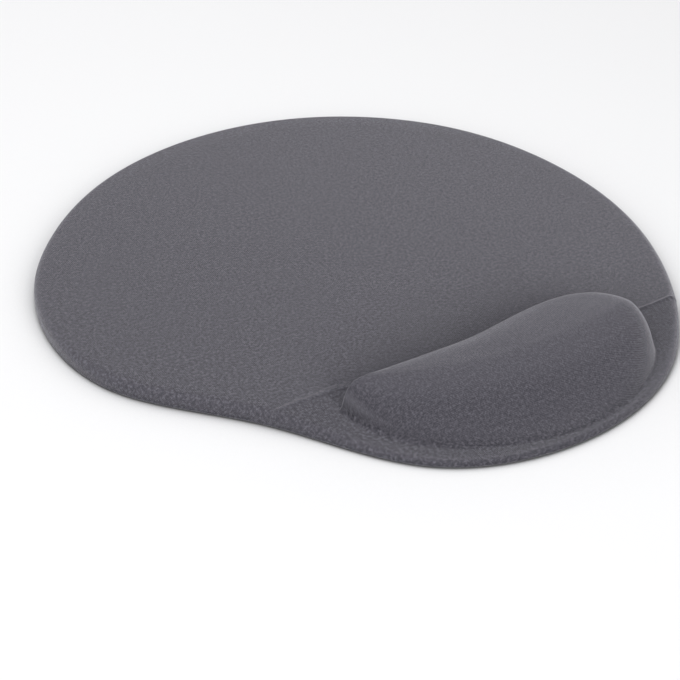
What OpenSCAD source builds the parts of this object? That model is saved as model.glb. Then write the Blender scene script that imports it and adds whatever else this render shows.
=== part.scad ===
// Desk pad with a built-in gel wrist cushion.
// A thin laminated pad: non-slip sheet, foam mat, sealed gel pouch at the
// heel and one stretched knit cover over everything.
// +Z is up, the user sits toward -Y, +X is to the user's right.
// The origin is on the desk under the middle of the pad.

/* [Overall size] */
// Width of the pad, left to right
pad_width = 220; // [200:1:240]
// Length of the pad, heel to far edge
pad_length = 250; // [230:1:280]
// Height of the flat mat above the desk
mat_height = 5.5; // [4.5:0.1:8]
// Height of the thinned edge in front of the cushion
front_height = 2.5; // [2.4:0.1:5]
// Height of the cushion's crest above the desk
cushion_height = 19; // [14:0.5:24]

/* [Plan shape] */
// Handles of the closed smooth curve that is the pad's edge
edge_handles = [
    [89, -69], [110, -17], [111, 37], [94, 87], [51, 122], [-1, 128], [-53, 108],
    [-91, 67], [-111, 27], [-111, -32], [-67, -65], [-44, -120], [12, -129], [60, -108]
];
// Handles of the closed smooth curve that is the cushion's foot
cushion_handles = [
    [8, -123.5], [37, -115], [63, -95], [60.5, -74], [42, -63],
    [-2, -72], [-49, -79], [-49, -76], [-46, -94], [-27, -113.5]
];
// Point under the cushion that its rings are drawn about
cushion_centre = [6, -92];

/* [Surface] */
// Where the flat mat folds into the sloping heel
fold_y = -71; // [-80:1:-60]
// How far the fold line sways off straight
fold_sway = 8; // [0:0.5:12]
// Middle of the fold line
fold_middle = 6; // [-10:1:20]
// Half the length of the fold line
fold_half = 78; // [60:1:90]
// Rounding of the pad's top edge, less where the pad is thin
edge_radius = 2.6; // [1.4:0.1:3]
// How much lower the crest is at its left end
crest_lean = 2; // [0:0.5:4]
// Where the cushion's slope toward the user ends, in the middle of its length
slope_front = -123; // [-124:1:-118]
// Where the slope reaches the crest, in the middle of its length
slope_rear = -91; // [-96:1:-86]
// How far back the slope's lower line bends toward both ends of the cushion
slope_curl = 40; // [20:1:42]
// How far back the crest line bends toward both ends of the cushion
crest_curl = 26; // [10:1:28]
// Middle of the slope along the cushion
slope_middle = 10; // [6:1:14]
// Half the length over which the two lines bend
slope_reach = 62; // [60:1:72]
// Share of the crest's height that the foot rises in one soft step
toe_step = 0.04; // [0.03:0.01:0.4]
// Share of the slope that is straight, the rest is an S curve
slope_ramp = 0.2; // [0:0.05:1]
// How far in from its foot the cushion's wall rounds over
shoulder = 3.5; // [2:0.5:6]
// Roundness of the cushion's wall
wall_roundness = 0.45; // [0.4:0.05:1]

/* [Layers] */
// Thickness of the non-slip sheet
base_thickness = 0.8; // [0.6:0.1:1.2]
// Thickness of the bond between sheet and foam
bond_thickness = 0.15; // [0.1:0.05:0.3]
// Thickness of the knit cloth
cloth_thickness = 0.6; // [0.4:0.1:0.8]
// Thickness of the film on the back of the cloth
backing_thickness = 0.15; // [0.1:0.05:0.3]
// Thickness of the two films that seal the gel
pouch_thickness = 0.25; // [0.15:0.05:0.4]
// Clearance left between layers
layer_gap = 0.08; // [0.04:0.01:0.12]
// Height of the cloth's lower edge above the desk
hem_height = 0.4; // [0.2:0.1:0.8]

/* [Part selection] */
// Sub-part to draw, or "all"

/* [Hidden] */

// Curve steps between two handles
edge_steps = 6;
cushion_steps = 12;
// Rings of the cushion, dense where the wall is steep
dome_rings = [0.25, 0.46, 0.63, 0.76, 0.85, 0.9, 0.935, 0.96, 0.978, 0.989, 0.996, 1];
// Rings of the flat floor under the cushion
floor_rings = [0.35, 0.7, 1];
// Rings from the cushion's foot to the fold line
mat_steps = 3;
// Steps of the rounded top edge, the least radius of the layers inside it and the
// most of the height over the foam's bottom that the rounding may take
round_steps = 3;
least_radius = 0.2;
round_share = 0.9;

// Depths below the outer surface
cloth_back = cloth_thickness;
backing_face = cloth_back + layer_gap;
backing_back = backing_face + backing_thickness;
core_face = backing_back + layer_gap;
lower_film_under = core_face - layer_gap;
lower_film_top = lower_film_under - pouch_thickness;
pouch_floor = lower_film_top - layer_gap;
pouch_room = 0.07;
pouch_face = core_face + pouch_room;
pouch_back = pouch_face + pouch_thickness;
gel_face = pouch_back + layer_gap;

// Plan inset and heights of the flat layers
flat_inset = backing_back + layer_gap;
bond_bottom = base_thickness + layer_gap;
core_bottom = bond_bottom + bond_thickness + layer_gap;

// Plan distances from the cushion's foot in to the lower film, on to the upper
// film's rim, across that welded rim and on to the gel
foot_room = 0.3;
rim_room = 0.2;
weld_width = 0.8;
gel_room = 0.1;
lower_film_inset = core_face + foot_room;
pouch_inset = lower_film_inset + rim_room;
pouch_inner_inset = pouch_inset + weld_width;
gel_inset = pouch_inner_inset + gel_room;

// ---- plan curves ----

function blend(a, b, c, d, t) =
    (pow(1 - t, 3) * a + (3 * pow(t, 3) - 6 * t * t + 4) * b
    + (-3 * pow(t, 3) + 3 * t * t + 3 * t + 1) * c + pow(t, 3) * d) / 6;

function smooth_loop(h, steps) = [
    for (i = [0:len(h) - 1]) for (k = [0:steps - 1])
        blend(h[i], h[(i + 1) % len(h)], h[(i + 2) % len(h)], h[(i + 3) % len(h)], k / steps)
];

function column(points, axis) = [for (p = points) p[axis]];

raw_edge = smooth_loop(edge_handles, edge_steps);
raw_low = [min(column(raw_edge, 0)), min(column(raw_edge, 1))];
raw_high = [max(column(raw_edge, 0)), max(column(raw_edge, 1))];
raw_middle = (raw_low + raw_high) / 2;
plan_scale = [
    pad_width / (raw_high.x - raw_low.x),
    pad_length / (raw_high.y - raw_low.y)
];

function place(p) = [
    (p.x - raw_middle.x) * plan_scale.x,
    (p.y - raw_middle.y) * plan_scale.y
];

edge = [for (p = raw_edge) place(p)];
foot = [for (p = smooth_loop(cushion_handles, cushion_steps)) place(p)];
centre = place(cushion_centre);
rays = len(edge);

function unit(v) = v / norm(v);

// Outward direction of the edge at each of its points
edge_out = [
    for (i = [0:rays - 1])
        let (along = unit(edge[(i + 1) % rays] - edge[(i + rays - 1) % rays]))
        [along.y, -along.x]
];

function edge_inset(i, d) = edge[i] - edge_out[i] * d;

// Distance from the centre to the cushion's foot along a direction
function foot_reach(dir) = max([
    for (i = [0:len(foot) - 1])
        let (
            p = foot[i] - centre,
            q = foot[(i + 1) % len(foot)] - centre,
            side_p = cross(dir, p),
            side_q = cross(dir, q)
        )
        if (side_p <= 0 && side_q > 0)
            (p + (q - p) * side_p / (side_p - side_q)) * dir
]);

ray_dir = [for (i = [0:rays - 1]) unit(edge[i] - centre)];
ray_foot = [for (i = [0:rays - 1]) foot_reach(ray_dir[i])];

// ---- heights ----

function clamp(v, low, high) = max(low, min(high, v));
function ease(t) = let (c = clamp(t, 0, 1)) c * c * (3 - 2 * c);

function fold_line(x) =
    let (t = clamp((x - fold_middle) / fold_half, -1, 1))
    fold_y - fold_sway * t * (1 - t * t);

// Outer surface without the cushion: flat mat, then the heel that thins out
function bed(p) =
    let (
        start = fold_line(p.x),
        t = clamp((start - p.y) / (start + pad_length / 2), 0, 1)
    )
    front_height + (mat_height - front_height) * pow(1 - t, 2);

// Height share from the foot's shape: flat inside, dropping at the foot
function wall(s, reach) = pow(max(1 - pow(s, reach / shoulder), 0), wall_roundness);

// How much of their bend the slope's lines have at a place along the cushion
function bow(x) =
    let (t = clamp((x - slope_middle) / slope_reach, -1, 1))
    1 - sqrt(1 - t * t);

// Height share from the slope toward the user
function slope(p) =
    let (
        start = slope_front + slope_curl * bow(p.x),
        end = slope_rear + crest_curl * bow(p.x),
        t = clamp((p.y - start) / (end - start), 0, 1)
    )
    toe_step + (1 - toe_step) * (slope_ramp * t + (1 - slope_ramp) * ease(t));

// Half the length over which the crest leans
crest_reach = 50;
function crest(x) =
    cushion_height
    - crest_lean * (1 - clamp((x - centre.x) / crest_reach, -1, 1)) / 2;

// ---- rings, each one point per ray ----

function ray_point(i, s, inset) = centre + ray_dir[i] * (ray_foot[i] - inset) * s;

// Cushion surface at one depth, out to an inset from the cushion's foot
function dome_skin(depth, inset) = [
    for (s = dome_rings)
        [for (i = [0:rays - 1])
            let (
                p = ray_point(i, s, inset),
                share = s * (ray_foot[i] - inset) / (ray_foot[i] - depth),
                g = wall(share, ray_foot[i]) * slope(p)
            )
            [p.x, p.y, bed(p) * (1 - g) + crest(p.x) * g - depth]]
];

// Surface under the cushion at one depth, out to an inset from the cushion's foot
function floor_skin(depth, inset) = [
    for (s = floor_rings)
        [for (i = [0:rays - 1])
            let (p = ray_point(i, s, inset))
            [p.x, p.y, bed(p) - depth]]
];

// Share of the way from p to q at which the fold line is crossed
function fold_share(p, q, low = 0, high = 1, left = 12) =
    let (t = (low + high) / 2, m = p + (q - p) * t)
    left == 0 ? t
    : m.y < fold_line(m.x) ? fold_share(p, q, t, high, left - 1)
    : fold_share(p, q, low, t, left - 1);

// Where the mat's last ring before the edge stops: near the foot on the flat
// mat, past halfway on the heel and on the fold line wherever the ray crosses it
flat_stop = 0.05;
heel_stop = 0.6;
first_stop = 0.03;
last_stop = 0.97;
function fold_stop(p, q) =
    p.y >= fold_line(p.x) ? flat_stop
    : q.y <= fold_line(q.x) ? heel_stop
    : clamp(fold_share(p, q), first_stop, last_stop);

ray_stop = [
    for (i = [0:rays - 1]) fold_stop(ray_point(i, 1, 0), edge_inset(i, edge_radius))
];

// Rounding of one layer's edge on one ray
function round_radius(i, depth) =
    max(
        min(edge_radius, (bed(edge[i]) - core_bottom) * round_share) - depth,
        least_radius
    );

// Mat surface from the foot out to where the edge starts to round
function mat_rings(depth) = [
    for (k = [1:mat_steps + 1])
        [for (i = [0:rays - 1])
            let (
                start = ray_point(i, 1, depth),
                end = edge_inset(i, depth + round_radius(i, depth)),
                t = k <= mat_steps ? ray_stop[i] * k / mat_steps : 1,
                p = start + (end - start) * t
            )
            [p.x, p.y, bed(p) - depth]]
];

// Rounded top edge and the side wall down to a height
function side_rings(depth, bottom) =
    concat(
        [
            for (k = [1:round_steps])
                let (a = 90 * k / round_steps)
                [for (i = [0:rays - 1])
                    let (
                        radius = round_radius(i, depth),
                        p = edge_inset(i, depth + radius * (1 - sin(a))),
                        top = bed(edge_inset(i, depth + radius)) - depth
                    )
                    [p.x, p.y, top - radius * (1 - cos(a))]]
        ],
        [[for (i = [0:rays - 1])
            let (p = edge_inset(i, depth))
            [p.x, p.y, bottom]]]
    );

function reversed(v) = [for (k = [len(v) - 1:-1:0]) v[k]];

// Closed skin: from a top point out through rings, then back in through others
// to a bottom point. Both halves split their quads along the same diagonal.
module ring_solid(top, out, back, bottom) {
    n = rays;
    rings = concat(out, back);
    count = len(rings);
    turn = len(out) - 1;
    points = concat([top], [for (r = rings) for (p = r) p], [bottom]);
    last = len(points) - 1;
    faces = concat(
        [for (i = [0:n - 1]) [0, 1 + (i + 1) % n, 1 + i]],
        [
            for (r = [0:count - 2]) for (i = [0:n - 1]) for (half = [0, 1])
                let (
                    a = 1 + r * n + i,
                    b = 1 + r * n + (i + 1) % n,
                    c = a + n,
                    d = b + n
                )
                r < turn
                    ? (half == 0 ? [a, b, d] : [a, d, c])
                    : (half == 0 ? [a, b, c] : [b, d, c])
        ],
        [for (i = [0:n - 1])
            [last, 1 + (count - 1) * n + i, 1 + (count - 1) * n + (i + 1) % n]]
    );
    polyhedron(points = points, faces = faces, convexity = 6);
}

// One ring on the pouch's lower film
function floor_rim(inset) = [
    for (i = [0:rays - 1])
        let (p = ray_point(i, 1, inset))
        [p.x, p.y, bed(p) - pouch_floor]
];

function crest_point(depth) = [centre.x, centre.y, crest(centre.x) - depth];
function floor_point(depth) = [centre.x, centre.y, bed(centre) - depth];

function full_skin(depth) = concat(
    dome_skin(depth, depth), mat_rings(depth), side_rings(depth, hem_height)
);

// Shell of even thickness over the whole pad
module full_shell(outer, inner) {
    ring_solid(
        crest_point(outer),
        full_skin(outer),
        reversed(full_skin(inner)),
        crest_point(inner)
    );
}

// ---- sub-parts ----

module base_sheet() {
    color([0.07, 0.07, 0.08])
    linear_extrude(height = base_thickness)
        polygon([for (i = [0:rays - 1]) edge_inset(i, flat_inset)]);
}

module base_bond() {
    color([0.85, 0.82, 0.7])
    translate([0, 0, bond_bottom])
    linear_extrude(height = bond_thickness)
        polygon([for (i = [0:rays - 1]) edge_inset(i, flat_inset)]);
}

module mat_core() {
    color([0.2, 0.2, 0.22])
    ring_solid(
        floor_point(core_face),
        concat(
            floor_skin(core_face, core_face),
            mat_rings(core_face),
            side_rings(core_face, core_bottom)
        ),
        [],
        [centre.x, centre.y, core_bottom]
    );
}

module gel_lower_film() {
    color([0.7, 0.75, 0.8])
    ring_solid(
        floor_point(lower_film_top),
        floor_skin(lower_film_top, lower_film_inset),
        reversed(floor_skin(lower_film_under, lower_film_inset)),
        floor_point(lower_film_under)
    );
}

module gel_fill() {
    color([0.45, 0.6, 0.8])
    ring_solid(
        crest_point(gel_face),
        dome_skin(gel_face, gel_inset),
        reversed(floor_skin(pouch_floor, gel_inset)),
        floor_point(pouch_floor)
    );
}

module gel_upper_film() {
    color([0.75, 0.8, 0.85])
    ring_solid(
        crest_point(pouch_face),
        concat(dome_skin(pouch_face, pouch_inset), [floor_rim(pouch_inset)]),
        concat(
            [floor_rim(pouch_inner_inset)],
            reversed(dome_skin(pouch_back, pouch_inner_inset))
        ),
        crest_point(pouch_back)
    );
}

module cover_backing_film() {
    color([0.6, 0.6, 0.62])
    full_shell(backing_face, backing_back);
}

module cover_cloth() {
    color([0.32, 0.31, 0.34])
    full_shell(0, cloth_back);
}

base_sheet();
base_bond();
mat_core();
gel_lower_film();
gel_fill();
gel_upper_film();
cover_backing_film();
cover_cloth();
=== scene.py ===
"""Looks of the desk pad with a built-in gel wrist cushion.

Shapes are worked out in millimetres and turned into metres when a mesh is made.
"""

import math

import bpy
import numpy as np
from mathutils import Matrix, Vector
from mathutils.bvhtree import BVHTree


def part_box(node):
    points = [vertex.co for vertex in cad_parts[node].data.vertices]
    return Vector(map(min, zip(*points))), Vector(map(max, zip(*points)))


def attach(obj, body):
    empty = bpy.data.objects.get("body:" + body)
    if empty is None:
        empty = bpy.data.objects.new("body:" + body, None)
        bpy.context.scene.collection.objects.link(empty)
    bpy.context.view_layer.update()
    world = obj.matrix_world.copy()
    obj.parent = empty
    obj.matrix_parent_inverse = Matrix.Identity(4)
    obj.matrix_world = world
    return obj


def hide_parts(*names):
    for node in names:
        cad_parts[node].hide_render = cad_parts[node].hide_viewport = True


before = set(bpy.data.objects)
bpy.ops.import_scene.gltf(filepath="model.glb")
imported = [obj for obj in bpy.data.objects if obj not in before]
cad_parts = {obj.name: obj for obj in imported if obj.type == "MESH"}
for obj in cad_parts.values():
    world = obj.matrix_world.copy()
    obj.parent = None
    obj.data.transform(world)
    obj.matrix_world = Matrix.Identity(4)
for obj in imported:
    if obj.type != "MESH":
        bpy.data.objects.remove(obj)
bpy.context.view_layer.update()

MM = 0.001


# ---------------------------------------------------------------- sizes

def box_mm(node):
    low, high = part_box(node)
    return np.array(low) / MM, np.array(high) / MM


COVER_LOW, COVER_HIGH = box_mm("cover_cloth")
SHEET_LOW, SHEET_HIGH = box_mm("base_sheet")
WIDTH, LENGTH = (COVER_HIGH - COVER_LOW)[:2]
HEM = COVER_LOW[2]
CORE_BOTTOM = box_mm("mat_core")[0][2]


def inset_of(node):
    """How far a node stays inside the cover's outer face."""
    return COVER_HIGH[0] - box_mm(node)[1][0]


# Depths of the layers' faces below the cover's outer face
CLOTH_BACK = 0.6
HEM_ROUND = 0.5
BACKING_FACE = inset_of("cover_backing_film")
GAP = BACKING_FACE - CLOTH_BACK
CORE_FACE = inset_of("mat_core")
BACKING_BACK = CORE_FACE - GAP
POUCH = 0.25
LOWER_FILM_UNDER = CORE_FACE - GAP
LOWER_FILM_TOP = LOWER_FILM_UNDER - POUCH
POUCH_FLOOR = LOWER_FILM_TOP - GAP
POUCH_FACE = CORE_FACE + 0.07
POUCH_BACK = POUCH_FACE + POUCH
GEL_FACE = POUCH_BACK + GAP

# Plan insets of the gel pouch from the cushion's foot
LOWER_FILM_INSET = CORE_FACE + 0.3
POUCH_INSET = LOWER_FILM_INSET + 0.2
POUCH_INNER_INSET = POUCH_INSET + 0.8
GEL_INSET = POUCH_INNER_INSET + 0.1

# The same handles and surface settings as the CAD part
EDGE_HANDLES = [
    (89, -69), (110, -17), (111, 37), (94, 87), (51, 122), (-1, 128), (-53, 108),
    (-91, 67), (-111, 27), (-111, -32), (-67, -65), (-44, -120), (12, -129), (60, -108),
]
CUSHION_HANDLES = [
    (8, -123.5), (37, -115), (63, -95), (60.5, -74), (42, -63),
    (-2, -72), (-49, -79), (-49, -76), (-46, -94), (-27, -113.5),
]
CUSHION_CENTRE = (6, -92)
MAT_HEIGHT, FRONT_HEIGHT, CUSHION_HEIGHT = 5.5, 2.5, 19.0
FOLD_Y, FOLD_SWAY, FOLD_MIDDLE, FOLD_HALF = -71.0, 8.0, 6.0, 78.0
EDGE_RADIUS, LEAST_RADIUS, ROUND_SHARE = 2.6, 0.2, 0.9
CREST_LEAN, CREST_REACH = 2.0, 50.0
SLOPE_FRONT, SLOPE_REAR, TOE_STEP, SLOPE_RAMP = -123.0, -91.0, 0.04, 0.2
SLOPE_CURL, CREST_CURL, SLOPE_MIDDLE, SLOPE_REACH = 40.0, 26.0, 10.0, 62.0
SHOULDER, WALL_ROUNDNESS = 3.5, 0.45

# Soft details that only the fabric has
FILLET, SOFT_FILLET = 0.8, 2.0
BEAD_HEIGHT, BEAD_WIDTH = 0.35, 0.55

# The gel's swelling, and the cloth simulation that finds it
SWELL, SWELL_CAP = 0.8, 1.28
SWELL_FADE = 0.25
VOXEL, PRESSURE, FRAMES = 3.5, 4.0, 20
WELD_HEIGHT = 0.8
SMOOTHINGS = 14

# How finely curves are sampled, in handles of the spline
CURVE_STEP = 0.01
RAY_STEP = 1 / 30
FOLD_ZONE, FOLD_STEP = 0.24, 0.0068


# ---------------------------------------------------------------- plan

def spline(handles, u):
    """Points and directions of a closed smooth curve at handle positions u."""
    h = np.array(handles, float)
    i = np.floor(u).astype(int)
    t = (u - i)[:, None]
    corners = [h[(i + k) % len(h)] for k in range(4)]
    weights = [
        (1 - t) ** 3, 3 * t ** 3 - 6 * t ** 2 + 4,
        -3 * t ** 3 + 3 * t ** 2 + 3 * t + 1, t ** 3,
    ]
    slopes = [
        -3 * (1 - t) ** 2, 9 * t ** 2 - 12 * t, -9 * t ** 2 + 6 * t + 3, 3 * t ** 2,
    ]
    point = sum(w * c for w, c in zip(weights, corners)) / 6
    along = sum(w * c for w, c in zip(slopes, corners)) / 6
    return point, along


FULL_STEPS = np.arange(0, len(EDGE_HANDLES), CURVE_STEP)
FULL_EDGE = spline(EDGE_HANDLES, FULL_STEPS)[0]
RAW_LOW, RAW_HIGH = FULL_EDGE.min(0), FULL_EDGE.max(0)
PLAN_SCALE = np.array([WIDTH, LENGTH]) / (RAW_HIGH - RAW_LOW)


def place(points):
    """Handle coordinates turned into the pad's plan."""
    return (np.array(points, float) - (RAW_LOW + RAW_HIGH) / 2) * PLAN_SCALE


CENTRE = place(CUSHION_CENTRE)
FOOT = place(spline(CUSHION_HANDLES, np.arange(0, len(CUSHION_HANDLES), CURVE_STEP))[0])
FOOT_ANGLE = np.arctan2(*(FOOT - CENTRE).T[::-1])
FOOT_ORDER = np.argsort(FOOT_ANGLE)
FOOT_ANGLE = FOOT_ANGLE[FOOT_ORDER]
FOOT_RADIUS = np.linalg.norm(FOOT - CENTRE, axis=1)[FOOT_ORDER]


def foot_reach(points):
    """Distance from the cushion's centre to its foot in the direction of each point."""
    d = points - CENTRE
    angle = np.arctan2(d[..., 1], d[..., 0])
    return np.interp(angle, FOOT_ANGLE, FOOT_RADIUS, period=2 * math.pi)


def fold_line(x):
    """Where the flat mat ends and the heel starts to thin, at each x."""
    t = np.clip((x - FOLD_MIDDLE) / FOLD_HALF, -1, 1)
    return FOLD_Y - FOLD_SWAY * t * (1 - t * t)


def edge_steps():
    """Handle positions of the rays: even, and close together where the fold meets the edge."""
    edge = place(FULL_EDGE)
    over = np.sign(edge[:, 1] - fold_line(edge[:, 0]))
    crossings = FULL_STEPS[np.flatnonzero(over != np.roll(over, -1))]
    steps = np.arange(0, len(EDGE_HANDLES), RAY_STEP)
    for c in crossings:
        steps = steps[np.abs(steps - c) > FOLD_ZONE]
        steps = np.append(steps, np.arange(c - FOLD_ZONE, c + FOLD_ZONE, FOLD_STEP))
    return np.sort(steps % len(EDGE_HANDLES))


STEPS = edge_steps()
RAW, ALONG = spline(EDGE_HANDLES, STEPS)
EDGE = place(RAW)
ALONG = ALONG * PLAN_SCALE
ALONG /= np.linalg.norm(ALONG, axis=1)[:, None]
OUT = np.stack([ALONG[:, 1], -ALONG[:, 0]], axis=1)
RAYS = len(EDGE)
RAY = (EDGE - CENTRE) / np.linalg.norm(EDGE - CENTRE, axis=1)[:, None]
REACH = foot_reach(EDGE)


# ---------------------------------------------------------------- heights

def ease(t):
    """A smooth step from 0 to 1."""
    t = np.clip(t, 0, 1)
    return t * t * (3 - 2 * t)


def bed(p):
    """Height of the mat and of the heel that thins toward the user."""
    start = fold_line(p[..., 0])
    t = np.clip((start - p[..., 1]) / (start + LENGTH / 2), 0, 1)
    return FRONT_HEIGHT + (MAT_HEIGHT - FRONT_HEIGHT) * (1 - t) ** 2


def crest(x):
    """Height of the cushion's top, a little lower at its left end."""
    lean = (1 - np.clip((x - CENTRE[0]) / CREST_REACH, -1, 1)) / 2
    return CUSHION_HEIGHT - CREST_LEAN * lean


def share(p, depth):
    """How much of the crest's height a point has, from 0 at the foot to 1."""
    reach = foot_reach(p)
    s = np.linalg.norm(p - CENTRE, axis=-1) / (reach - depth)
    wall = np.clip(1 - s ** (reach / SHOULDER), 0, 1) ** WALL_ROUNDNESS
    bow = 1 - np.sqrt(1 - np.clip((p[..., 0] - SLOPE_MIDDLE) / SLOPE_REACH, -1, 1) ** 2)
    start, end = SLOPE_FRONT + SLOPE_CURL * bow, SLOPE_REAR + CREST_CURL * bow
    t = np.clip((p[..., 1] - start) / (end - start), 0, 1)
    slope = TOE_STEP + (1 - TOE_STEP) * (SLOPE_RAMP * t + (1 - SLOPE_RAMP) * ease(t))
    return wall * slope


def drawn(p, depth, domed):
    """Height before the fillets, of the cushion or of the bed under it."""
    g = share(p, depth) if domed else 0
    return bed(p) * (1 - g) + crest(p[..., 0]) * g


# Offsets and weights that average a height over a small disc, which rounds a corner
TAPS = [(0.0, 0.0, 4.0)] + [
    (r * math.cos(a), r * math.sin(a), w)
    for r, w in ((0.5, 2.0), (1.0, 1.0))
    for a in np.arange(6) * math.pi / 3 + r
]
TAP_SUM = sum(w for _, _, w in TAPS)


def fillet(p):
    """Radius of the soft fillet at the cushion's foot, wider at its front left end."""
    x, y = p[..., 0], p[..., 1]
    return FILLET + (SOFT_FILLET - FILLET) * ease((-4 - x) / 24) * ease((-84 - y) / 12)


def bead(p):
    """The pinched line where the cover folds over from the mat to the heel."""
    across = (p[..., 1] - fold_line(p[..., 0])) / BEAD_WIDTH
    left = ease((-34 - p[..., 0]) / 8)
    right = ease((p[..., 0] - 62) / 6)
    return BEAD_HEIGHT * np.exp(-across ** 2) * (left + right)


def undulation(p):
    """Slow unevenness of a moulded pad, a few hundredths of a millimetre."""
    x, y = p[..., 0], p[..., 1]
    return (
        0.030 * np.sin(x / 27 + 1.3) * np.sin(y / 31 + 0.4)
        + 0.015 * np.sin(x / 19 - y / 23 + 2.1)
        + 0.010 * np.sin(x / 31 + y / 18 + 0.7)
    )


def surface(p, depth, domed=True):
    """Height of a layer's face at plan points, with soft fillets."""
    r = np.asarray(fillet(p))[..., None]
    z = sum(w * drawn(p + r * np.array([dx, dy]), depth, domed) for dx, dy, w in TAPS)
    return z / TAP_SUM + bead(p) + undulation(p) - depth


# ---------------------------------------------------------------- rings

# Rings run outward: over the cushion, across the mat, round its edge and down its side
DOME_SHARES = 1 - (1 - np.linspace(0, 1, 47)[1:]) ** 1.9
THINNED = sorted({*range(0, len(DOME_SHARES), 2), len(DOME_SHARES) - 1})
NEAR_STEPS = np.array([0.35, 0.7, 1.1, 1.5, 2.0, 2.6, 3.4, 4.4])
FAR_STEPS = (np.arange(1, 31) / 30) ** 1.5
ROUND_ANGLES = np.radians(np.linspace(0, 90, 8)[1:])
HEM_ANGLES = np.radians([22, 45, 68, 90, 112, 135, 158])
WALL_SHARES = (0.35, 0.7)
UNDER_SHARES = (0.25, 0.5, 0.75, 0.9, 1.0)


def ring(plan, z):
    return np.concatenate([plan, np.broadcast_to(z, (RAYS,))[:, None]], axis=1)


def dome_plan(inset, shares=DOME_SHARES):
    return [CENTRE + RAY * ((REACH - inset) * s)[:, None] for s in shares]


def dome_rings(depth, inset, swell=None, shares=DOME_SHARES):
    rings = []
    for k, plan in enumerate(dome_plan(inset, shares)):
        lift = 0 if swell is None else swell[k]
        rings.append(ring(plan, surface(plan, depth) + lift))
    return rings


def floor_rings(depth, inset, shares):
    """Rings on the bed under the cushion."""
    return [ring(p, surface(p, depth, domed=False)) for p in dome_plan(inset, shares)]


ROUNDING = np.minimum(EDGE_RADIUS, (bed(EDGE) - CORE_BOTTOM) * ROUND_SHARE)


def radius_at(depth):
    """Radius of the rounded top edge of the face at a depth."""
    return np.maximum(ROUNDING - depth, LEAST_RADIUS)


def mat_rings(depth, domed=True, coarse=1):
    """Rings from the cushion's foot to the rounded edge, close together near the foot."""
    start = CENTRE + RAY * (REACH - depth)[:, None]
    end = EDGE - OUT * (depth + radius_at(depth))[:, None]
    length = np.linalg.norm(end - start, axis=1)
    near = NEAR_STEPS[None, ::coarse] * np.minimum(1, length / 14)[:, None]
    far = near[:, -1:] + (length[:, None] - near[:, -1:]) * FAR_STEPS[None, coarse - 1::coarse]
    rings = []
    for distance in np.concatenate([near, far], axis=1).T:
        plan = start + (end - start) * (distance / length)[:, None]
        rings.append(ring(plan, surface(plan, depth, domed)))
    return rings


def side_rings(depth, stops, domed=True):
    """The rounded top edge, then the side wall down through the heights in stops."""
    r = radius_at(depth)
    top = surface(EDGE - OUT * (depth + r)[:, None], depth, domed)
    rings = []
    for a in ROUND_ANGLES:
        plan = EDGE - OUT * (depth + r * (1 - math.sin(a)))[:, None]
        rings.append(ring(plan, top - r * (1 - math.cos(a))))
    wall_top = top - r
    for share_down in WALL_SHARES:
        rings.append(ring(EDGE - OUT * depth, wall_top + (stops[0] - wall_top) * share_down))
    for z in stops:
        rings.append(ring(EDGE - OUT * depth, z))
    return rings


def centre_point(depth, domed=True, lift=0.0):
    return np.array([*CENTRE, float(surface(CENTRE, depth, domed)) + lift])


# ---------------------------------------------------------------- meshes

def ring_mesh(name, top, rings, bottom):
    """A closed skin from a top point through rings to a bottom point."""
    n, count = len(rings[0]), len(rings)
    points = np.concatenate([[top], *rings, [bottom]]) * MM
    i = np.arange(n)
    j = (i + 1) % n
    tops = np.stack([np.zeros(n, int), 1 + i, 1 + j], axis=1)
    last = len(points) - 1
    base = 1 + (count - 1) * n
    bottoms = np.stack([np.full(n, last), base + j, base + i], axis=1)
    quads = np.concatenate([
        np.stack([1 + k * n + i, 1 + (k + 1) * n + i, 1 + (k + 1) * n + j, 1 + k * n + j], axis=1)
        for k in range(count - 1)
    ])
    mesh = bpy.data.meshes.new(name)
    mesh.from_pydata(points.tolist(), [], tops.tolist() + quads.tolist() + bottoms.tolist())
    mesh.polygons.foreach_set("use_smooth", np.ones(len(mesh.polygons), bool))
    mesh.update()
    piece = bpy.data.objects.new(name, mesh)
    bpy.context.scene.collection.objects.link(piece)
    return piece


def add_vectors(piece, name, values):
    attribute = piece.data.attributes.new(name, "FLOAT_VECTOR", "POINT")
    attribute.data.foreach_set("vector", np.asarray(values, np.float32).ravel())


def add_values(piece, name, values):
    attribute = piece.data.attributes.new(name, "FLOAT", "POINT")
    attribute.data.foreach_set("value", np.asarray(values, np.float32).ravel())


def stand_in(piece, node):
    """Let a piece replace a CAD node, on the one body there is."""
    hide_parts(node)
    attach(piece, "root")
    return piece


# ---------------------------------------------------------------- gel swelling

PLAIN_SWELL = [SWELL * ease((1 - s) / SWELL_FADE) * np.ones(RAYS) for s in DOME_SHARES]


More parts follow.
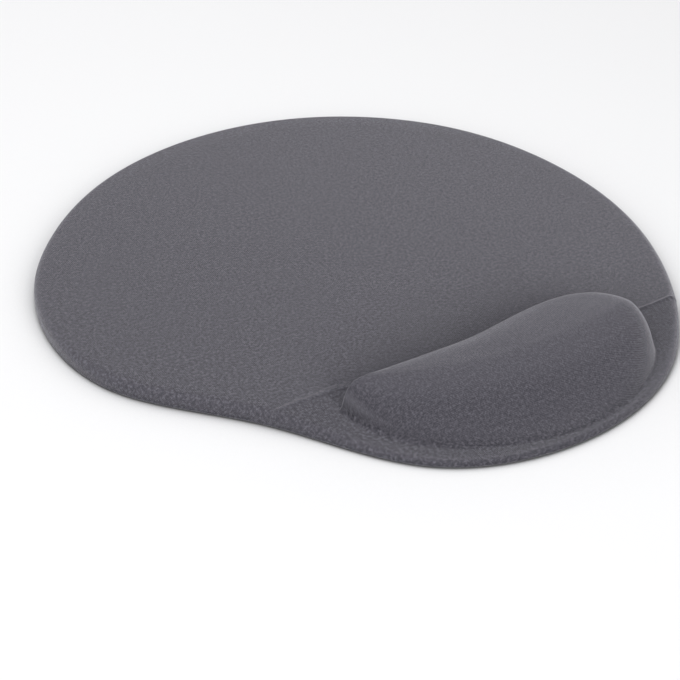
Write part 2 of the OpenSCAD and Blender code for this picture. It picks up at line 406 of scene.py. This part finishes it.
def simulated_swell():
    """How far the gel swells at each ring: a cloth skin under pressure, started low."""
    rings = dome_rings(GEL_FACE, GEL_INSET)
    for swell, r in zip(PLAIN_SWELL, rings):
        r[:, 2] -= swell
    floor = floor_rings(POUCH_FLOOR, GEL_INSET, (0.4, 0.8, 1.0))
    skin = [r[::3] for r in rings[::3] + [rings[-1]] + floor[::-1]]
    body = ring_mesh(
        "gel_simulation",
        centre_point(GEL_FACE, lift=-SWELL),
        skin,
        centre_point(POUCH_FLOOR, domed=False),
    )
    bpy.context.view_layer.objects.active = body
    body.select_set(True)
    remesh = body.modifiers.new("Remesh", "REMESH")
    remesh.mode = "VOXEL"
    remesh.voxel_size = VOXEL * MM
    bpy.ops.object.modifier_apply(modifier=remesh.name)
    start = np.array([v.co for v in body.data.vertices])
    welded = body.vertex_groups.new(name="welded")
    for v, co in zip(body.data.vertices, start):
        low = bed(co[:2] / MM) - POUCH_FLOOR
        if co[2] / MM < low + WELD_HEIGHT:
            welded.add([v.index], 1.0, "REPLACE")
    cloth = body.modifiers.new("Cloth", "CLOTH")
    cloth.settings.quality = 6
    cloth.settings.mass = 0.3
    cloth.settings.use_pressure = True
    cloth.settings.uniform_pressure_force = PRESSURE
    cloth.settings.vertex_group_mass = welded.name
    cloth.settings.effector_weights.gravity = 0.0
    scene = bpy.context.scene
    for f in range(1, FRAMES + 1):
        scene.frame_set(f)
    bpy.ops.object.modifier_apply(modifier=cloth.name)
    move = np.array([v.co for v in body.data.vertices]) - start
    size = np.linalg.norm(move, axis=1)
    end = start + move * np.minimum(1, SWELL_CAP * MM / np.maximum(size, 1e-9))[:, None]
    faces = [tuple(f.vertices) for f in body.data.polygons]
    trees = [BVHTree.FromPolygons(co.tolist(), faces) for co in (start, end)]
    bpy.data.objects.remove(body)
    scene.frame_set(1)
    return smoothed(lift_between(*trees))


def top_of(tree, x, y):
    hit = tree.ray_cast(Vector((x, y, 0.05)), Vector((0, 0, -1)))[0]
    return None if hit is None else hit.z / MM


def lift_between(before, after):
    """How far one skin's top is over another's, ring by ring."""
    lifts = np.zeros((len(DOME_SHARES), RAYS))
    for k, plan in enumerate(dome_plan(GEL_INSET)):
        if DOME_SHARES[k] >= 0.93:
            break
        for i, (x, y) in enumerate(plan * MM):
            low, high = top_of(before, x, y), top_of(after, x, y)
            if low is not None and high is not None:
                lifts[k, i] = high - low
    return lifts


def smoothed(lifts):
    """Lifts averaged with their neighbours, and faded out at the cushion's foot."""
    for _ in range(SMOOTHINGS):
        lifts[1:-1] = (lifts[:-2] + 2 * lifts[1:-1] + lifts[2:]) / 4
        lifts[0] = lifts[0].mean()
        lifts = (np.roll(lifts, 1, 1) + 2 * lifts + np.roll(lifts, -1, 1)) / 4
    return lifts * ease((1 - DOME_SHARES) / 0.2)[:, None]


# Lift of the cushion's skin over the drawn shape, ring by ring
GROWN = simulated_swell()
SKIN_LIFT = [lift - plain for lift, plain in zip(GROWN, PLAIN_SWELL)]
CENTRE_LIFT = float(np.mean(SKIN_LIFT[0]))
THINNED_LIFT = [SKIN_LIFT[k] for k in THINNED]


# ---------------------------------------------------------------- fabric coordinates

def is_rounded(r):
    """Whether a ring is on the rounded edge or below it."""
    limit = EDGE - OUT * (ROUNDING - 0.01)[:, None]
    return bool(np.all(np.sum((r[:, :2] - limit) * OUT, axis=1) > 0))


def fabric_plan(rings, dome_count):
    """Where each ring's points lie on the flat cloth: evenly stretched over the cushion,
    and carried on by arc length round the edge and down the side."""
    flat = [r[:, :2].copy() for r in rings]
    steps = [np.linalg.norm(rings[0] - centre_point(0.0, lift=CENTRE_LIFT), axis=1)]
    for a, b in zip(rings[:dome_count - 1], rings[1:dome_count]):
        steps.append(steps[-1] + np.linalg.norm(b - a, axis=1))
    for k in range(dome_count):
        flat[k] = CENTRE + RAY * (REACH * steps[k] / steps[-1])[:, None]
    start = next(k for k in range(dome_count, len(rings)) if is_rounded(rings[k]))
    for k in range(start, len(rings)):
        step = np.linalg.norm(rings[k] - rings[k - 1], axis=1)
        flat[k] = flat[k - 1] + OUT * step[:, None]
    return flat


# ---------------------------------------------------------------- pieces

def make_cover():
    """The knit: a closed skin with a rounded hem at the desk."""
    outer = dome_rings(0.0, 0.0, SKIN_LIFT) + mat_rings(0.0)
    outer += side_rings(0.0, [HEM + HEM_ROUND])
    hem = []
    for a in HEM_ANGLES:
        depth = CLOTH_BACK / 2 * (1 - math.cos(a))
        hem.append(ring(EDGE - OUT * depth, HEM + HEM_ROUND * (1 - math.sin(a))))
    inner = dome_rings(CLOTH_BACK, CLOTH_BACK, THINNED_LIFT, DOME_SHARES[THINNED])
    inner += mat_rings(CLOTH_BACK, coarse=3)
    inner += side_rings(CLOTH_BACK, [HEM + HEM_ROUND])[1::2]
    piece = ring_mesh(
        "cover",
        centre_point(0.0, lift=CENTRE_LIFT),
        outer + hem + inner[::-1],
        centre_point(CLOTH_BACK, lift=CENTRE_LIFT),
    )
    flat = fabric_plan(outer, len(DOME_SHARES))
    flat += [flat[-1] + OUT * (0.3 * (k + 1)) for k in range(len(hem))]
    flat += [r[:, :2] for r in inner[::-1]]
    flat = np.concatenate([[CENTRE], *flat, [CENTRE]])
    add_vectors(piece, "weave", np.concatenate([flat, np.zeros((len(flat), 1))], axis=1))
    add_values(piece, "wear_and_highlight", wear_and_highlight_of(outer, len(hem), len(inner)))
    # painted shade round the cushion's foot and the cushion's shadow behind it
    add_values(piece, "painted_foot_shade", painted_foot_shade_of(piece))
    add_values(piece, "taut", taut_of(piece))
    return piece


def wear_and_highlight_of(outer, hem_count, inner_count):
    """Where the cloth is lighter, from 0 to 1: real rubbing on the rounded edge, and painted
    highlight on the fold line, the cushion's crest and most of all the shoulder round its back
    and ends."""
    values = [np.zeros(1)]
    for k, r in enumerate(outer):
        rim = np.sum((r[:, :2] - EDGE) * OUT, axis=1)
        edge = 0.35 * ease((rim + 3.2) / 2.2) * ease((r[:, 2] - 1.0) / 1.5)
        top = np.zeros(RAYS)
        if k < len(DOME_SHARES):
            raised = share(r[:, :2], 0.0)
            inward = REACH * (1 - DOME_SHARES[k])
            # painted highlight: the crest's top made lighter, and a bright line along the
            # shoulder
            crown = 0.28 * ease((raised - 0.55) / 0.35)
            line = np.exp(-((inward - 0.9) / 0.8) ** 2) * ease((raised - 0.12) / 0.3)
            top = np.maximum(crown, line)
        # painted highlight along the fold bead
        fold = bead(r[:, :2]) / BEAD_HEIGHT * 0.6
        values.append(np.maximum(np.maximum(edge, top), fold))
    values += [np.zeros(RAYS)] * (hem_count + inner_count) + [np.zeros(1)]
    return np.concatenate(values)


def plan_of(piece):
    return np.array([v.co for v in piece.data.vertices])[:, :2] / MM


def painted_foot_shade_of(piece):
    """Painted shade, 1 at the cushion's foot and fading away from it, most behind it where the
    cushion's shadow falls.
    """
    co = plan_of(piece)
    out = np.linalg.norm(co - CENTRE, axis=1) - foot_reach(co)
    behind = ease((co[:, 1] + 100) / 24)
    away = (0.25 + 0.75 * ease((co[:, 0] + 48) / 26)) * (0.5 + 0.5 * behind)
    return away * np.exp(-np.where(out > 0, out / (8 + 20 * behind), -out / 2.5) ** 2)


def taut_of(piece):
    """1 where the cloth is stretched over the cushion, 0 on the mat."""
    return ease(share(plan_of(piece), 0.0) / 0.15)


def make_backing():
    def skin(depth):
        rings = dome_rings(depth, depth, THINNED_LIFT, DOME_SHARES[THINNED])
        return rings + mat_rings(depth, coarse=3) + side_rings(depth, [HEM])[::2]

    return ring_mesh(
        "backing_film",
        centre_point(BACKING_FACE, lift=CENTRE_LIFT),
        skin(BACKING_FACE) + skin(BACKING_BACK)[::-1],
        centre_point(BACKING_BACK, lift=CENTRE_LIFT),
    )


def make_core():
    top = floor_rings(CORE_FACE, CORE_FACE, (0.2, 0.4, 0.6, 0.8, 0.9, 1.0))
    top += mat_rings(CORE_FACE, domed=False, coarse=2)
    top += side_rings(CORE_FACE, [CORE_BOTTOM], domed=False)
    under = [
        ring(CENTRE + (EDGE - OUT * CORE_FACE - CENTRE) * s, CORE_BOTTOM)
        for s in (0.97, 0.75, 0.5, 0.25)
    ]
    bottom = np.array([*CENTRE, CORE_BOTTOM])
    return ring_mesh("foam_core", centre_point(CORE_FACE, domed=False), top + under, bottom)


def make_lower_film():
    top = floor_rings(LOWER_FILM_TOP, LOWER_FILM_INSET, UNDER_SHARES)
    under = floor_rings(LOWER_FILM_UNDER, LOWER_FILM_INSET, UNDER_SHARES)
    return ring_mesh(
        "pouch_bottom",
        centre_point(LOWER_FILM_TOP, domed=False),
        top + under[::-1],
        centre_point(LOWER_FILM_UNDER, domed=False),
    )


def make_upper_film():
    outer = dome_rings(POUCH_FACE, POUCH_INSET, SKIN_LIFT)
    inner = dome_rings(POUCH_BACK, POUCH_INNER_INSET, SKIN_LIFT)
    rims = [
        floor_rings(POUCH_FLOOR, inset, (1.0,))[0]
        for inset in (POUCH_INSET, POUCH_INNER_INSET)
    ]
    return ring_mesh(
        "pouch_top",
        centre_point(POUCH_FACE, lift=CENTRE_LIFT),
        outer + rims + inner[::-1],
        centre_point(POUCH_BACK, lift=CENTRE_LIFT),
    )


def make_gel():
    top = dome_rings(GEL_FACE, GEL_INSET, SKIN_LIFT)
    under = floor_rings(POUCH_FLOOR, GEL_INSET, UNDER_SHARES)
    return ring_mesh(
        "gel_pad",
        centre_point(GEL_FACE, lift=CENTRE_LIFT),
        top + under[::-1],
        centre_point(POUCH_FLOOR, domed=False),
    )


def make_grip_sheet():
    """Non-slip sheet with low wavy ripples moulded into its underside."""
    inset = inset_of("base_sheet")
    rim = EDGE - OUT * inset
    ripples, depth, waves = 21, 0.25, 52
    profile = np.array([1.0, 1.0, 0.55, 0.0, 0.55])
    wave = np.sin(waves * STEPS / len(EDGE_HANDLES) * 2 * math.pi)
    top = [ring(rim * s, SHEET_HIGH[2]) for s in (0.3, 0.6, 0.9)]
    top.append(ring(rim - OUT * 0.15, SHEET_HIGH[2]))
    side = [ring(rim, z) for z in (SHEET_HIGH[2] - 0.15, 0.3, 0.12)]
    side.append(ring(rim - OUT * 0.12, 0.0))
    under = []
    count = ripples * len(profile)
    for k in range(count - 3, 0, -1):
        s = k / count
        plan = rim * (s + 0.011 * wave * s * ease((1 - s) / 0.08))[:, None]
        lift = depth * (1 - profile[k % len(profile)]) * ease((0.985 - s) / 0.02)
        under.append(ring(plan, lift))
    return ring_mesh(
        "grip_sheet",
        np.array([0.0, 0.0, SHEET_HIGH[2]]),
        top + side + under,
        np.array([0.0, 0.0, 0.0]),
    )


cover = stand_in(make_cover(), "cover_cloth")
backing = stand_in(make_backing(), "cover_backing_film")
core = stand_in(make_core(), "mat_core")
pouch_bottom = stand_in(make_lower_film(), "gel_lower_film")
pouch_top = stand_in(make_upper_film(), "gel_upper_film")
gel = stand_in(make_gel(), "gel_fill")
grip = stand_in(make_grip_sheet(), "base_sheet")


# ---------------------------------------------------------------- materials

class Graph:
    """A material under construction. Knit scales are per mm, the others per metre."""

    def __init__(self, name):
        self.material = bpy.data.materials.new(name)
        self.material.use_nodes = True
        self.tree = self.material.node_tree
        self.shader = self.tree.nodes["Principled BSDF"]
        self.output = self.tree.nodes["Material Output"]

    def node(self, kind, inputs=(), **settings):
        n = self.tree.nodes.new(kind)
        for key, value in settings.items():
            setattr(n, key, value)
        for key, value in dict(inputs).items():
            self.feed(n.inputs[key], value)
        return n

    def feed(self, socket, value):
        if isinstance(value, bpy.types.NodeSocket):
            self.tree.links.new(value, socket)
        else:
            socket.default_value = value

    def math(self, operation, a, b=0.0):
        return self.node("ShaderNodeMath", {0: a, 1: b}, operation=operation).outputs[0]

    def blend(self, a, b, factor):
        n = self.node("ShaderNodeMix", {0: factor, 6: a, 7: b}, data_type="RGBA")
        return n.outputs[2]

    def noise(self, vector, scale, detail=2.0, rough=0.5):
        n = self.node(
            "ShaderNodeTexNoise",
            {"Vector": vector, "Scale": scale, "Detail": detail, "Roughness": rough},
        )
        return n.outputs["Fac"]

    def spread(self, value, low, high, to_low=0.0, to_high=1.0):
        n = self.node("ShaderNodeMapRange", {0: value, 1: low, 2: high, 3: to_low, 4: to_high})
        return n.outputs[0]

    def attribute(self, name, output="Fac"):
        return self.node("ShaderNodeAttribute", attribute_name=name).outputs[output]

    def times(self, a, b):
        return self.math("MULTIPLY", a, b)

    def object_space(self):
        return self.node("ShaderNodeTexCoord").outputs["Object"]

    def cells(self, vector, scale):
        n = self.node("ShaderNodeTexVoronoi", {"Vector": vector, "Scale": scale})
        return n.outputs["Distance"]

    def bump(self, height, distance, strength=1.0, normal=None):
        inputs = {"Height": height, "Distance": distance, "Strength": strength}
        if normal is not None:
            inputs["Normal"] = normal
        return self.node("ShaderNodeBump", inputs).outputs[0]

    def shade(self, colour, roughness, normal=None, constants=()):
        self.feed(self.shader.inputs["Base Color"], colour)
        self.feed(self.shader.inputs["Roughness"], roughness)
        if normal is not None:
            self.feed(self.shader.inputs["Normal"], normal)
        for key, value in dict(constants).items():
            self.shader.inputs[key].default_value = value
        return self.material


def dress(piece, material):
    piece.data.materials.clear()
    piece.data.materials.append(material)


# Width and height of a stitch, mm
WALE, COURSE = 0.62, 0.5


def knit_height(g, weave):
    """Jersey knit: columns of small slanted stitches, from 0 in the gaps to 1."""
    split = g.node("ShaderNodeSeparateXYZ", {0: weave})
    wander = g.times(g.math("SUBTRACT", g.noise(weave, 0.06, 1.0), 0.5), 0.5)
    u = g.math("DIVIDE", g.math("ADD", split.outputs[0], wander), WALE)
    v = g.math("DIVIDE", g.math("ADD", split.outputs[1], wander), COURSE)
    leg = g.math("PINGPONG", u, 0.5)
    phase = g.times(g.math("ADD", v, g.times(leg, 1.1)), 2 * math.pi)
    stitch = g.spread(g.math("SINE", phase), -1.0, 1.0)
    column = g.math("SINE", g.times(leg, 2 * math.pi))
    column = g.math("POWER", g.math("ABSOLUTE", column), 0.6)
    return g.times(stitch, column)


def knit_material():
    g = Graph("knit")
    weave = g.attribute("weave", "Vector")
    height = knit_height(g, weave)
    fibre = g.noise(weave, 9.0, 2.0, 0.6)
    cloud = g.noise(weave, 0.05, 3.0, 0.55)
    yarn = g.noise(weave, 1.9, 2.0, 0.6)
    slub = g.noise(weave, 0.9, 3.0, 0.75)
    loose = g.spread(g.attribute("taut"), 0.0, 1.0, 1.0, 0.4)
    dark_slub = g.times(g.spread(slub, 0.49, 0.62), loose)
    pale_slub = g.times(g.spread(slub, 0.49, 0.36), loose)
    patchiness = g.spread(g.noise(weave, 0.9, 3.0, 0.6), 0.3, 0.7, 0.75, 1.0)
    wear_and_highlight = g.times(g.attribute("wear_and_highlight"), patchiness)
    painted_foot_shade = g.attribute("painted_foot_shade")
    tone = g.blend((0.050, 0.048, 0.060, 1), (0.092, 0.088, 0.106, 1), height)
    tone = g.blend(tone, (0.135, 0.129, 0.152, 1), g.spread(cloud, 0.3, 0.75, 0.0, 0.04))
    tone = g.blend(tone, (0.030, 0.028, 0.036, 1), g.spread(yarn, 0.45, 0.70, 0.0, 0.50))
    tone = g.blend(tone, (0.160, 0.154, 0.178, 1), g.spread(yarn, 0.52, 0.30, 0.0, 0.42))
    tone = g.blend(tone, (0.026, 0.025, 0.032, 1), g.times(dark_slub, 0.7))
    tone = g.blend(tone, (0.180, 0.173, 0.203, 1), g.times(pale_slub, 0.6))
    # rubbed wear on the rounded edge, and painted highlight on the crest, its shoulder and the
    # fold bead
    tone = g.blend(tone, (0.200, 0.193, 0.222, 1), g.times(wear_and_highlight, 0.42))
    # painted shade: the knit darkened round the cushion's foot and in the cushion's shadow behind
    # it
    tone = g.blend(tone, (0.030, 0.029, 0.036, 1), g.times(painted_foot_shade, 0.46))
    relief = g.math("ADD", g.times(height, 0.8), g.times(fibre, 0.35))
    fine = g.bump(relief, 0.00010, 0.8)
    normal = g.bump(slub, 0.00003, 0.3, fine)
    rough = g.spread(g.math("ADD", fibre, height), 0.4, 1.6, 0.92, 0.78)
    return g.shade(tone, rough, normal, {
        "Sheen Weight": 0.7,
        "Sheen Roughness": 0.35,
        "Sheen Tint": (0.95, 0.94, 1.0, 1),
        "Specular IOR Level": 0.25,
    })


def film_material(name, colour, rough, scale):
    g = Graph(name)
    at = g.object_space()
    haze = g.noise(at, scale, 4.0, 0.6)
    dust = g.noise(at, scale * 14, 2.0, 0.5)
    dark = tuple(c * 0.82 for c in colour[:3]) + (1,)
    tone = g.blend(colour, dark, g.spread(haze, 0.3, 0.7))
    tone = g.blend(tone, (0.9, 0.9, 0.88, 1), g.spread(dust, 0.62, 0.75, 0.0, 0.12))
    normal = g.bump(g.math("ADD", haze, g.times(dust, 0.3)), 0.0001, 0.4)
    return g.shade(tone, g.spread(haze, 0.2, 0.8, rough, rough + 0.2), normal)


def gel_material():
    g = Graph("gel")
    at = g.object_space()
    cloud = g.noise(at, 60, 3.0, 0.5)
    cells = g.cells(at, 420.0)
    tone = g.blend((0.50, 0.62, 0.76, 1), (0.62, 0.72, 0.82, 1), cloud)
    tone = g.blend((0.85, 0.90, 0.95, 1), tone, g.spread(cells, 0.04, 0.12))
    normal = g.bump(cloud, 0.0002, 0.3)
    return g.shade(tone, g.spread(cloud, 0.3, 0.7, 0.12, 0.3), normal, {"Coat Weight": 0.3})


def foam_material():
    g = Graph("foam")
    at = g.object_space()
    cloud = g.noise(at, 50, 3.0)
    pore = g.spread(g.cells(at, 1800.0), 0.05, 0.45)
    tone = g.blend((0.018, 0.018, 0.020, 1), (0.060, 0.060, 0.066, 1), pore)
    tone = g.blend(tone, (0.080, 0.078, 0.080, 1), g.spread(cloud, 0.4, 0.7, 0.0, 0.3))
    return g.shade(tone, g.spread(cloud, 0.3, 0.7, 0.8, 0.95), g.bump(pore, 0.0002, 0.8))


def grip_material():
    g = Graph("grip_rubber")
    at = g.object_space()
    height = g.node("ShaderNodeSeparateXYZ", {0: at}).outputs[2]
    touch = g.spread(height, 0.0, 0.00008, 1.0, 0.0)
    grain = g.noise(at, 2600, 2.0, 0.6)
    cloud = g.noise(at, 45, 4.0, 0.6)
    lint = g.noise(at, 700, 3.0, 0.7)
    tone = g.blend((0.016, 0.016, 0.018, 1), (0.040, 0.040, 0.043, 1), grain)
    rubbed = g.times(touch, g.spread(cloud, 0.35, 0.7, 0.05, 0.5))
    tone = g.blend(tone, (0.075, 0.073, 0.070, 1), rubbed)
    tone = g.blend(tone, (0.16, 0.15, 0.14, 1), g.spread(lint, 0.66, 0.78, 0.0, 0.35))
    rough = g.math("SUBTRACT", g.spread(cloud, 0.3, 0.7, 0.62, 0.82), g.times(touch, 0.14))
    return g.shade(tone, rough, g.bump(grain, 0.00012, 0.6))


def bond_material():
    g = Graph("bond")
    at = g.object_space()
    smear = g.noise(at, 90, 5.0, 0.65)
    drops = g.noise(at, 900, 2.0, 0.5)
    tone = g.blend((0.62, 0.57, 0.42, 1), (0.46, 0.41, 0.29, 1), g.spread(smear, 0.35, 0.7))
    tone = g.blend(tone, (0.74, 0.70, 0.58, 1), g.spread(drops, 0.6, 0.75, 0.0, 0.5))
    return g.shade(tone, g.spread(smear, 0.3, 0.7, 0.35, 0.6), g.bump(drops, 0.0001, 0.6))


pouch_look = film_material("pouch_film", (0.70, 0.74, 0.78, 1), 0.12, 70)
dress(cover, knit_material())
dress(backing, film_material("backing_film", (0.55, 0.55, 0.57, 1), 0.4, 60))
dress(core, foam_material())
dress(pouch_bottom, pouch_look)
dress(pouch_top, pouch_look)
dress(gel, gel_material())
dress(grip, grip_material())
dress(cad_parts["base_bond"], bond_material())


# ---------------------------------------------------------------- stage

FLOOR_HALF, FLOOR_DROP = 3.0, 0.0002
CONTACT_REACH = 0.05
LIGHT_DISTANCE = 1.6

# Azimuth, elevation, size and power of each light
LIGHTS = {
    "top": (0, 90, 1.0, 8.8),
    "back": (180, 58, 1.0, 6.3),
    "left": (270, 58, 1.0, 5.4),
    "front_low": (0, 24, 0.8, 10.0),
    "left_low": (300, 24, 0.8, 4.6),
}
WORLD_STRENGTH = 0.22

CAMERA_LENS, CAMERA_SENSOR = 108, 36
CAMERA_ANGLES = (-29.138, 30.541)
CAMERA_TARGET = (-0.02464, -0.03417, 0.0)
CAMERA_DISTANCE = 0.67705


def make_floor():
    """A pale floor with a contact shade painted into its colour, clear when seen from below."""
    half = FLOOR_HALF
    mesh = bpy.data.meshes.new("floor")
    corners = [(-half, -half, 0), (half, -half, 0), (half, half, 0), (-half, half, 0)]
    mesh.from_pydata(corners, [], [(0, 1, 2, 3)])
    floor = bpy.data.objects.new("floor", mesh)
    floor.location.z = -FLOOR_DROP
    bpy.context.scene.collection.objects.link(floor)
    g = Graph("floor")
    contact = g.node("ShaderNodeAmbientOcclusion", {"Distance": CONTACT_REACH}, samples=8)
    # painted contact shade: the floor's colour darkened near the pad by ambient occlusion
    tone = g.blend((0.20, 0.20, 0.21, 1), (0.88, 0.88, 0.89, 1), contact.outputs["AO"])
    g.shade(tone, 0.9, constants={"Specular IOR Level": 0.1})
    under = g.node("ShaderNodeNewGeometry").outputs["Backfacing"]
    clear = g.node("ShaderNodeBsdfTransparent").outputs[0]
    mixed = g.node("ShaderNodeMixShader", {0: under, 1: g.shader.outputs[0], 2: clear})
    g.tree.links.new(mixed.outputs[0], g.output.inputs["Surface"])
    dress(floor, g.material)


def direction(azimuth, elevation):
    """Unit vector toward a viewpoint: azimuth 0 is the user's side, 90 the right."""
    a, e = math.radians(azimuth), math.radians(elevation)
    return Vector((math.sin(a) * math.cos(e), -math.cos(a) * math.cos(e), math.sin(e)))


def aim(thing, target, azimuth, elevation, distance):
    """Put a light or camera at a distance from a point and turn it to that point."""
    back = direction(azimuth, elevation)
    thing.location = Vector(target) + back * distance
    thing.rotation_mode = "QUATERNION"
    thing.rotation_quaternion = back.to_track_quat("Z", "Y")
    bpy.context.scene.collection.objects.link(thing)


def area_light(name, azimuth, elevation, size, power):
    light = bpy.data.lights.new(name, "AREA")
    light.shape = "DISK"
    light.size = size
    light.energy = power
    lamp = bpy.data.objects.new(name, light)
    aim(lamp, (0, 0, 0), azimuth, elevation, LIGHT_DISTANCE)


def make_world(strength):
    world = bpy.data.worlds.new("studio")
    world.use_nodes = True
    background = world.node_tree.nodes["Background"]
    background.inputs["Color"].default_value = (1, 1, 1, 1)
    background.inputs["Strength"].default_value = strength
    bpy.context.scene.world = world


def make_camera():
    data = bpy.data.cameras.new("camera")
    data.lens = CAMERA_LENS
    data.sensor_width = CAMERA_SENSOR
    data.clip_start = 0.01
    data.clip_end = 20
    camera = bpy.data.objects.new("camera", data)
    aim(camera, CAMERA_TARGET, *CAMERA_ANGLES, CAMERA_DISTANCE)
    bpy.context.scene.camera = camera


make_floor()
make_world(WORLD_STRENGTH)
for name, setting in LIGHTS.items():
    area_light(name, *setting)
make_camera()
bpy.context.scene.view_settings.view_transform = "Standard"
